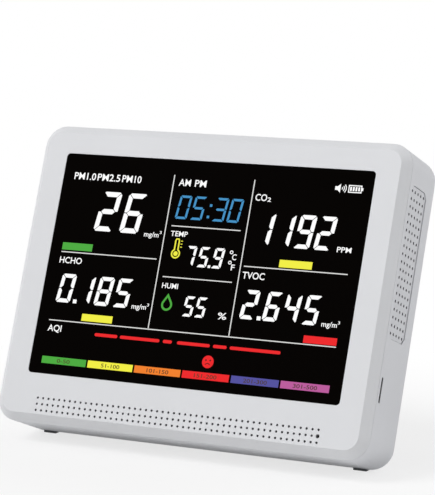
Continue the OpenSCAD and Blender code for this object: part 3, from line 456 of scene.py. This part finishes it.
degree = [band(disc(0, 0, 0.95, 18), disc(0, 0, 0.5, 18))]
symbols = shifted(degree[0], 16.2, 12.0) + shifted(degree[0], 16.2, 6.9)
symbols += shifted([[(0, -0.9), (1.3, -0.9), (2.8, -2.2), (2.8, 2.2), (1.3, 0.9), (0, 0.9)]],
                   65.1, 47.2)
for r in (1.0, 2.0, 3.0):
    arc = [math.radians(-42 + 84 * i / 8) for i in range(9)]
    outer = [(r * math.cos(a), r * math.sin(a)) for a in arc]
    inner = [((r - 0.45) * math.cos(a), (r - 0.45) * math.sin(a)) for a in arc]
    symbols += shifted([[outer[i], outer[i + 1], inner[i + 1], inner[i]] for i in range(8)],
                       68.1, 47.2)
symbols += band(block(72.0, 45.3, 79.0, 49.1), block(72.5, 45.8, 78.5, 48.6))
symbols += [block(79.0, 46.5, 79.7, 47.9)]
symbols += [block(72.9 + 1.4 * i, 46.2, 73.8 + 1.4 * i, 48.2) for i in range(4)]
piece("display_symbols", flat_mesh("display_symbols", symbols), white_light, "case")

face_at = (13.4, -42.4)
piece("display_face", flat_mesh("display_face", [disc(*face_at, 3.1, 40)]),
      bar_lights["red"], "case")
mouth = [math.radians(35 + 110 * i / 12) for i in range(13)]
curve_out = [(1.7 * math.cos(a), 1.7 * math.sin(a) - 2.3) for a in mouth]
curve_in = [(1.3 * math.cos(a), 1.3 * math.sin(a) - 2.3) for a in mouth]
features = [[curve_out[i], curve_out[i + 1], curve_in[i + 1], curve_in[i]] for i in range(12)]
features += [disc(-1.15, 0.75, 0.42, 16), disc(1.15, 0.75, 0.42, 16)]
piece("display_face_features",
      flat_mesh("display_face_features", shifted(features, *face_at), lit_y - 0.02),
      lit("lit_dark", "#3A0506"), "case")

# The message is one lit bar for each word, with no words in it.
words = [(-51.0, -38.1), (-36.7, -14.6), (-12.7, -7.7), (-4.9, 13.0), (14.7, 22.1), (23.7, 50.7)]
message_z, bar_r = -34.6, 0.8


def rounded_bar(x0, x1, z, r, n=8):
    """A bar with round ends."""
    ends = ((x1 - r, -90), (x0 + r, 90))
    return [(x + r * math.cos(math.radians(a + 180 * i / n)),
             z + r * math.sin(math.radians(a + 180 * i / n)))
            for x, a in ends for i in range(n + 1)]


piece("display_message",
      flat_mesh("display_message", [rounded_bar(*w, message_z, bar_r) for w in words]),
      bar_lights["red"], "case")

# ------------------------------------------------------------------ keys
# Two rocker keys in the top edge, moulded in the shell's ABS. Each is a pill with a rounded rim
# on a flange that keeps it in, and rocks on a shaft over two switches. The marks are printed.
key_abs = moulded("abs_key_grey", "#D6D7DA", 0.42)
key_length, key_width, key_depth = 36, 11, 18
key_top, key_rim = 153.2, 1.1
flange_low, flange_high, flange_edge = 148.6, 149.6, 1
shaft_height, shaft_length, shaft_radius = 147.6, 18, 1.1
nub_low, nub_radius, nub_apart = 146.25, 1.5, 9.75
web_width = 3.2


def lofted(whole, rings, bored=False):
    """A closed solid through rings of as many points each; a bored one is joined end to end."""
    made = [[whole.verts.new(point) for point in ring] for ring in rings]
    n = len(made[0])
    for low, high in zip(made, made[1:] + made[:1] if bored else made[1:]):
        for i in range(n):
            whole.faces.new((low[i], low[(i + 1) % n], high[(i + 1) % n], high[i]))
    if not bored:
        whole.faces.new(made[0][::-1])
        whole.faces.new(made[-1])


def turned(whole, profile, base, axis, bored=False, n=32):
    """A solid turned round an axis: its profile is (radius, distance along the axis)."""
    axis = Vector(axis).normalized()
    across = axis.orthogonal().normalized()
    upward = axis.cross(across)
    turns = [2 * math.pi * i / n for i in range(n)]
    lofted(whole, [[Vector(base) + axis * along + r * (across * math.cos(a) + upward * math.sin(a))
                    for a in turns] for r, along in profile], bored)


def rod(length, r, soft=0.2):
    """The profile of a rod with its ends' edges broken."""
    return [(r - soft, 0), (r, soft), (r, length - soft), (r - soft, length)]


def smooth(whole, name, angle=32):
    """The finished mesh, smooth where its faces turn gently."""
    mesh = bpy.data.meshes.new(name)
    whole.to_mesh(mesh)
    whole.free()
    mesh.shade_smooth()
    mesh.set_sharp_from_angle(angle=math.radians(angle))
    return mesh


def pill(x, length, width, inset, z, n=14):
    """A pill-shaped ring round a key's middle."""
    r, across = width / 2 - inset, (length - width) / 2
    return [(x + side * across + r * math.cos(math.radians(start + 180 * i / n)),
             key_depth + r * math.sin(math.radians(start + 180 * i / n)), z)
            for side, start in ((1, -90), (-1, 90)) for i in range(n + 1)]


def rocker(name, x):
    """A key: its cap over the flange, its shaft on a web, and a nub over each switch."""
    whole = bmesh.new()
    rim = [math.radians(15 * i) for i in range(7)]
    profile = [(-flange_edge + 0.15, flange_low), (-flange_edge, flange_low + 0.15),
               (-flange_edge, flange_high - 0.15), (-flange_edge + 0.15, flange_high),
               (0, flange_high)]
    profile += [(key_rim * (1 - math.cos(a)), key_top - key_rim * (1 - math.sin(a))) for a in rim]
    lofted(whole, [pill(x, key_length, key_width, inset, z) for inset, z in profile])
    turned(whole, rod(shaft_length, shaft_radius),
           (x, key_depth - shaft_length / 2, shaft_height), (0, 1, 0))
    for s in (-1, 1):
        turned(whole, rod(flange_low - nub_low + 0.1, nub_radius),
               (x + s * nub_apart, key_depth, nub_low), (0, 0, 1))
    lofted(whole, [[(x + sx * web_width / 2, key_depth + sy * (key_width / 2 - 0.5), z)
                    for sx, sy in ((-1, -1), (1, -1), (1, 1), (-1, 1))]
                   for z in (shaft_height, flange_low + 0.1)])
    return smooth(whole, name)


def printed_on_top(name, shapes, x, lift=0.02):
    """Flat printed marks on a key's top, measured from its middle to the right and back."""
    return flat_shapes(name, shapes, lambda px, py: (x + px, key_depth + py, key_top + lift))


key_ink = moulded("key_ink_grey", "#4B4D52", 0.6)  # a matt dark grey print
key_marks = {
    "outer_key": [rounded_bar(-11.8, -7.7, 0, 0.45), disc(9.75, 0, 1.5)],
    "inner_key": [*band(disc(-9.75, 0, 1.6, 24), disc(-9.75, 0, 1.1, 24)),
                  [(8.2, -1.5), (11.2, 0), (8.2, 1.5), (9.0, 0)]]}
for body, node in (("outer_key", "key_outer"), ("inner_key", "key_inner")):
    at = joints[body + "_rock"]["pos_m"][0] * 1000
    piece(body + "_cap", rocker(body + "_cap", at), key_abs, body,
          replaced=(node,))
    piece(body + "_marks", printed_on_top(body + "_marks", key_marks[body], at), key_ink, body)

# ------------------------------------------------------------------ stand and feet
# A U-shaped stand moulded in one piece with eased edges, on two steel pins. A rubber strip is
# let into its foot, and two small rubber pads are let into the case's rear lower edge.


def eased(node, width, segments=2):
    """A merged copy of a CAD piece with its sharp edges rounded over by that many mm."""
    whole = bmesh.new()
    whole.from_mesh(frame["nodes"][node].data)
    bmesh.ops.remove_doubles(whole, verts=whole.verts, dist=1e-6)
    bmesh.ops.dissolve_limit(whole, angle_limit=math.radians(0.5), verts=whole.verts,
                             edges=whole.edges)
    edges = [e for e in whole.edges if len(e.link_faces) == 2
             and e.calc_face_angle(0) > math.radians(35)]
    bmesh.ops.bevel(whole, geom=edges, offset=width / 1000, segments=segments, profile=0.5,
                    affect="EDGES", clamp_overlap=True)
    mesh = smooth(whole, node + "_eased", 40)
    if "custom_normal" in mesh.attributes:
        mesh.attributes.remove(mesh.attributes["custom_normal"])
    return mesh


as_is = Matrix.Identity(4)
stand_abs = moulded("abs_stand_grey", "#D4D5D8", 0.46)  # a little glossier than the case
piece("stand_frame", eased("stand", 0.45), stand_abs, "stand", as_is, ("stand",))
rubber = moulded("grey_rubber", "#5E6063", 0.82, 0.8, 0.12)  # dark, dull and coarse
piece("stand_grip", eased("stand_pad", 0.25), rubber, "stand", as_is,
      ("stand_pad",))
piece("case_feet", eased("foot_pads", 0.2), rubber, "case", as_is, ("foot_pads",))


def metal(name, colour, roughness=0.3, grain=0.4, depth=0.03):
    """Sheet or turned metal: its colour, with a fine uneven polish of that size in mm."""
    made = moulded(name, colour, roughness, grain, depth)
    shader = made.node_tree.nodes["Principled BSDF"]
    shader.inputs["Metallic"].default_value = 1.0
    shader.inputs["IOR"].default_value = 1.5
    return made


finish_as(metal("ground_steel", "#9FA3A8", 0.28), "stand_pins")

# ------------------------------------------------------------------ screws
# Five cross-head screws hold the shells together, deep in round recesses at the back, and
# seventeen smaller ones hold the boards. Each has a pan head, a cross and a rolled thread.


def shape_tree(name, numbers):
    """A geometry node tree that takes a mesh, these named numbers and a material."""
    made = bpy.data.node_groups.new(name, "GeometryNodeTree")
    made.is_modifier = True
    made.interface.new_socket("Geometry", in_out="INPUT", socket_type="NodeSocketGeometry")
    for label, default in numbers.items():
        kind = "NodeSocketInt" if isinstance(default, int) else "NodeSocketFloat"
        made.interface.new_socket(label, in_out="INPUT", socket_type=kind).default_value = default
    made.interface.new_socket("Material", in_out="INPUT", socket_type="NodeSocketMaterial")
    made.interface.new_socket("Geometry", in_out="OUTPUT", socket_type="NodeSocketGeometry")
    return made


screw_tree = shape_tree("cross_head_screw", {
    "Head Radius": 2.2, "Head Height": 1.6, "Shank Radius": 1.1, "Length": 10.0,
    "Thread Pitch": 0.8})
given = add_node(screw_tree, "NodeGroupInput").outputs


def maths(tree, operation, a, b):
    return add_node(tree, "ShaderNodeMath", {0: a, 1: b}, operation=operation).outputs[0]


def along_z(tree, z):
    return add_node(tree, "ShaderNodeCombineXYZ", {"Z": z}).outputs[0]


head = add_node(screw_tree, "GeometryNodeMeshCone", {
    "Vertices": 24, "Radius Bottom": given["Head Radius"], "Depth": given["Head Height"],
    "Radius Top": maths(screw_tree, "MULTIPLY", given["Head Radius"], 0.8)})
arm = add_node(screw_tree, "ShaderNodeCombineXYZ", {
    "X": maths(screw_tree, "MULTIPLY", given["Head Radius"], 1.2),
    "Y": maths(screw_tree, "MULTIPLY", given["Head Radius"], 0.28), "Z": given["Head Height"]})
arms = []
for quarter in (0, math.pi / 2):
    slot_cut = add_node(screw_tree, "GeometryNodeMeshCube", {"Size": arm.outputs[0]})
    arms.append(add_node(screw_tree, "GeometryNodeTransform", {
        "Geometry": slot_cut.outputs["Mesh"], "Rotation": (0, 0, quarter),
        "Translation": along_z(screw_tree, given["Head Height"])}))
cross = add_node(screw_tree, "GeometryNodeMeshBoolean", {}, operation="UNION")
for a in arms:
    screw_tree.links.new(a.outputs[0], cross.inputs["Mesh 2"])
cut_head = add_node(screw_tree, "GeometryNodeMeshBoolean", {
    "Mesh 1": head.outputs["Mesh"], "Mesh 2": cross.outputs["Mesh"]}, operation="DIFFERENCE")
core = add_node(screw_tree, "GeometryNodeMeshCylinder", {
    "Vertices": 16, "Radius": maths(screw_tree, "MULTIPLY", given["Shank Radius"], 0.86),
    "Depth": given["Length"]})
core_down = add_node(screw_tree, "GeometryNodeTransform", {
    "Geometry": core.outputs["Mesh"],
    "Translation": along_z(screw_tree, maths(screw_tree, "MULTIPLY", given["Length"], -0.498))})
crest = maths(screw_tree, "MULTIPLY", given["Shank Radius"], 0.9)
threaded = maths(screw_tree, "MULTIPLY", given["Length"], 0.85)
winding = add_node(screw_tree, "GeometryNodeCurveSpiral", {
    "Resolution": 12, "Rotations": maths(screw_tree, "DIVIDE", threaded, given["Thread Pitch"]),
    "Start Radius": crest, "End Radius": crest, "Height": threaded})
ridge = add_node(screw_tree, "GeometryNodeCurvePrimitiveCircle", {
    "Resolution": 4, "Radius": maths(screw_tree, "MULTIPLY", given["Shank Radius"], 0.1)})
thread = add_node(screw_tree, "GeometryNodeCurveToMesh", {
    "Curve": winding.outputs[0], "Profile Curve": ridge.outputs["Curve"], "Fill Caps": True})
thread_down = add_node(screw_tree, "GeometryNodeTransform", {
    "Geometry": thread.outputs[0],
    "Translation": along_z(screw_tree, maths(screw_tree, "MULTIPLY", given["Length"], -0.96))})
one_screw = add_node(screw_tree, "GeometryNodeJoinGeometry")
for part in (cut_head, core_down, thread_down):
    screw_tree.links.new(part.outputs[0], one_screw.inputs[0])
driven = add_node(screw_tree, "GeometryNodeInputNamedAttribute", {"Name": "drive"},
                  data_type="FLOAT_VECTOR")
turned_to = add_node(screw_tree, "FunctionNodeAlignRotationToVector", {
    "Vector": driven.outputs[0]}, axis="Z")
spots = add_node(screw_tree, "GeometryNodeMeshToPoints", {"Mesh": given["Geometry"]})
set_out = add_node(screw_tree, "GeometryNodeInstanceOnPoints", {
    "Points": spots.outputs[0], "Instance": one_screw.outputs[0],
    "Rotation": turned_to.outputs[0]})
real = add_node(screw_tree, "GeometryNodeRealizeInstances", {"Geometry": set_out.outputs[0]})
dressed = add_node(screw_tree, "GeometryNodeSetMaterial", {
    "Geometry": real.outputs[0], "Material": given["Material"]})
add_node(screw_tree, "NodeGroupOutput", {"Geometry": dressed.outputs[0]})


def grown(name, base, tree, values):
    """The base mesh after its node tree has run, as a plain mesh."""
    holder = bpy.data.objects.new(name, base)
    bpy.context.scene.collection.objects.link(holder)
    run = holder.modifiers.new(name, "NODES")
    run.node_group = tree
    sockets = {item.name: item.identifier for item in tree.interface.items_tree
               if item.item_type == "SOCKET" and item.in_out == "INPUT"}
    for label, value in values.items():
        run[sockets[label]] = value
    bpy.context.view_layer.update()
    mesh = bpy.data.meshes.new_from_object(
        holder.evaluated_get(bpy.context.evaluated_depsgraph_get()))
    bpy.data.objects.remove(holder)
    mesh.set_sharp_from_angle(angle=math.radians(32))
    return mesh


def screw_spots(name, rows):
    """Points for screws: where the head's underside is, and which way the head looks."""
    mesh = bpy.data.meshes.new(name)
    mesh.from_pydata([at for at, way in rows], [], [])
    drive = mesh.attributes.new("drive", "FLOAT_VECTOR", "POINT")
    for i, (at, way) in enumerate(rows):
        drive.data[i].vector = way
    return mesh


black_steel = metal("black_zinc_steel", "#2E2F31", 0.38)  # a dark glint deep in each recess
zinc_steel = metal("zinc_steel", "#8D9196", 0.3)  # bright grey heads on the boards
back, front, down = (0, 1, 0), (0, -1, 0), (0, 0, -1)
recess_floor = 22.1
case_spots = [((x, recess_floor, z), back) for x, z in (
    (-88, 141), (0, 141), (88, 141), (-88, 11), (88, 11))]
piece("shell_screws", grown("shell_screws", screw_spots("shell_screws", case_spots), screw_tree, {
    "Head Radius": 2.2, "Head Height": 1.6, "Shank Radius": 1.1, "Length": 10.0,
    "Thread Pitch": 0.8, "Material": black_steel}), black_steel, "case",
    replaced=("case_screws",))



def corners(x, y, z, half_width, half_height, way):
    """Four screws round the middle of a board."""
    return [((x + sx * half_width, y, z + sz * half_height), way)
            for sx in (-1, 1) for sz in (-1, 1)]


# The display's frame, the main board, the card board, the sensor board, the power board and the
# button board, each from the face that its screws' heads press on.
frame_rear, main_rear, card_rear, sensor_front, power_front = 10.0, 14.2, 10.65, 24.1, 25.93
button_depth, button_low = 28.5, 139.9
board_spots = [((x, frame_rear, z), back) for x, z in (
    (-52, 140.5), (52, 140.5), (-66, 20.7), (66, 20.7))]
board_spots += corners(-11, main_rear, 93, 44, 27, back)
board_spots += [((92.3, card_rear, 48.8), back)]
board_spots += corners(-72, sensor_front, 106, 18, 20, front)
board_spots += [((-87.9, power_front, 41 + sz * 10), front) for sz in (-1, 1)]
board_spots += [((x, button_depth, button_low), down) for x in (12, 68)]
piece("board_screws", grown("board_screws", screw_spots("board_screws", board_spots), screw_tree, {
    "Head Radius": 1.7, "Head Height": 1.1, "Shank Radius": 0.75, "Length": 4.2,
    "Thread Pitch": 0.55, "Material": zinc_steel}), zinc_steel, "case",
    replaced=("small_screws",))

# ------------------------------------------------------------------ particle sensor
# A small plastic box with a steel lid. A fan wheel with many thin blades turns on a pin in it
# and draws air past a laser.
finish_as(moulded("abs_sensor_grey", "#C6C9CC", 0.5), "pm_sensor_case")
finish_as(metal("lid_steel", "#AEB2B6", 0.34, 1.2), "pm_sensor_cover")
fan_tree = shape_tree("fan_blades", {
    "Blades": 24, "Middle Radius": 9.5, "Blade Length": 4.4, "Blade Height": 7.0,
    "Blade Thickness": 0.5})
given = add_node(fan_tree, "NodeGroupInput").outputs
circle = add_node(fan_tree, "GeometryNodeMeshCircle", {
    "Vertices": given["Blades"], "Radius": given["Middle Radius"]})
blade = add_node(fan_tree, "GeometryNodeMeshCube", {"Size": add_node(
    fan_tree, "ShaderNodeCombineXYZ", {
        "X": given["Blade Length"], "Y": given["Blade Thickness"],
        "Z": given["Blade Height"]}).outputs[0]})
pitched = add_node(fan_tree, "GeometryNodeTransform", {
    "Geometry": blade.outputs["Mesh"], "Rotation": (0, 0, math.radians(28)),
    "Translation": along_z(fan_tree, maths(fan_tree, "MULTIPLY", given["Blade Height"], 0.5))})
outwards = add_node(fan_tree, "FunctionNodeAlignRotationToVector", {
    "Vector": add_node(fan_tree, "GeometryNodeInputPosition").outputs[0]}, axis="X")
round_hub = add_node(fan_tree, "GeometryNodeInstanceOnPoints", {
    "Points": circle.outputs["Mesh"], "Instance": pitched.outputs[0],
    "Rotation": outwards.outputs[0]})
wheel = add_node(fan_tree, "GeometryNodeJoinGeometry")
fan_tree.links.new(given["Geometry"], wheel.inputs[0])
fan_tree.links.new(round_hub.outputs[0], wheel.inputs[0])
real = add_node(fan_tree, "GeometryNodeRealizeInstances", {"Geometry": wheel.outputs[0]})
dressed = add_node(fan_tree, "GeometryNodeSetMaterial", {
    "Geometry": real.outputs[0], "Material": given["Material"]})
add_node(fan_tree, "NodeGroupOutput", {"Geometry": dressed.outputs[0]})

fan_black = moulded("nylon_fan_black", "#26272A", 0.45)  # satin black blades
fan_at = (62, 21.8, 104)
pin_bore, hub_radius, plate_radius = 1.05, 4.5, 12
plate_low, plate_high, edge_break = 6.3, 7.5, 0.2
hub = bmesh.new()
turned(hub, [
    (pin_bore, edge_break), (pin_bore + edge_break, 0), (hub_radius - 0.3, 0), (hub_radius, 0.3),
    (hub_radius, plate_low), (plate_radius - edge_break, plate_low),
    (plate_radius, plate_low + edge_break), (plate_radius, plate_high - edge_break),
    (plate_radius - edge_break, plate_high), (pin_bore + edge_break, plate_high),
    (pin_bore, plate_high - edge_break)], (0, 0, 0), (0, 0, 1), bored=True)
fan_spin = Matrix.Translation(fan_at) @ Matrix.Rotation(-math.pi / 2, 4, "X")
piece("fan_wheel", grown("fan_wheel", smooth(hub, "fan_hub"), fan_tree, {
    "Blades": 24, "Middle Radius": 9.5, "Blade Length": 4.4, "Blade Height": 6.9,
    "Blade Thickness": 0.5, "Material": fan_black}), fan_black, "fan",
    stood @ fan_spin, ("pm_fan_rotor",))

# ------------------------------------------------------------------ boards and leads
# Glass-fibre boards under a green varnish, with fine copper tracks. Leads are red PVC ribbons,
# and the display's flat cable is amber film with copper tracks.


wave_period = 2000 / 6.2832  # mm between the bands of a wave texture at scale 1, nearly


def striped(name, colour, stripe, spacing, width, roughness, axis="X", depth=0.1):
    """A surface with straight raised tracks in place of a grain: their spacing in mm, and their
    share of it."""
    made = moulded(name, colour, roughness)
    tree = made.node_tree
    shader = tree.nodes["Principled BSDF"]
    bands = add_node(tree, "ShaderNodeTexWave", {
        "Vector": add_node(tree, "ShaderNodeTexCoord").outputs["Object"],
        "Scale": wave_period / spacing, "Distortion": 0.0}, bands_direction=axis)
    edge = add_node(tree, "ShaderNodeMapRange", {
        "Value": bands.outputs[1], "From Min": 1 - width, "From Max": 1 - width + 0.1})
    tint = add_node(tree, "ShaderNodeMix", {
        0: edge.outputs[0], 6: linear(colour), 7: linear(stripe)}, data_type="RGBA")
    tree.links.new(tint.outputs[2], shader.inputs["Base Color"])
    raised = add_node(tree, "ShaderNodeBump", {
        "Height": edge.outputs[0], "Strength": depth * 4, "Distance": 0.0001})
    tree.links.new(raised.outputs[0], shader.inputs["Normal"])
    return made


finish_as(striped("varnished_board", "#1C5E39", "#2C7A4C", 2.2, 0.3, 0.35), "main_board",
          "sensor_board", "power_board", "card_board", "button_board")
finish_as(striped("polyimide_film", "#C07F24", "#D89A45", 1.0, 0.5, 0.3), "display_ribbon")
finish_as(striped("red_lead", "#B4201F", "#8E1716", 1.0, 0.25, 0.4), "battery_lead",
          "speaker_lead")
finish_as(metal("shield_tinplate", "#A8ABAF", 0.33, 0.8), "main_board_parts")
finish_as(metal("socket_steel", "#C4C7CB", 0.25), "usb_c_socket")
finish_as(moulded("nylon_socket_black", "#0C0C0D", 0.6), "card_socket")
finish_as(moulded("nylon_switch_black", "#2C2D30", 0.5), "tact_switches")

# ------------------------------------------------------------------ other inner pieces
# The display's layers and white frame, the foil-wrapped cell on its foam pad, the speaker
# behind its cloth, the light sensor, and the gas sensors on their board.
finish_as(moulded("black_foam_tape", "#202020", 0.9, 0.5, 0.2), "window_adhesive")
finish_as(striped("lcd_glass", "#15171C", "#1D2026", 0.9, 0.4, 0.15), "lcd_panel")
finish_as(moulded("diffuser_white", "#ECEEF0", 0.35, 0.5), "backlight")
finish_as(moulded("abs_frame_white", "#ECECEA", 0.5), "display_frame")
finish_as(metal("foil_pouch", "#BEC1C6", 0.35, 3.0, 0.25), "battery_cell")
finish_as(moulded("white_foam", "#F1F1EE", 0.9, 0.7, 0.25), "battery_pad")
finish_as(moulded("speaker_black", "#2E2F33", 0.5), "speaker")
finish_as(striped("speaker_cloth", "#242426", "#3A3A3D", 0.6, 0.5, 0.9, "DIAGONAL"),
          "speaker_mesh")
finish_as(moulded("smoked_epoxy", "#0B0B0C", 0.25, 0.3, 0.01), "light_sensor")
finish_as(metal("gilt_can", "#C9A44C", 0.3, 0.8), "co2_sensor")
finish_as(moulded("white_sensor_cap", "#E6E7E4", 0.5), "formaldehyde_sensor")
finish_as(metal("nickel_can", "#C4C7CB", 0.25, 0.6), "voc_sensor")
finish_as(moulded("white_sensor_shell", "#F2F2F0", 0.5), "humidity_sensor")

bpy.context.scene.view_settings.view_transform = "Standard"
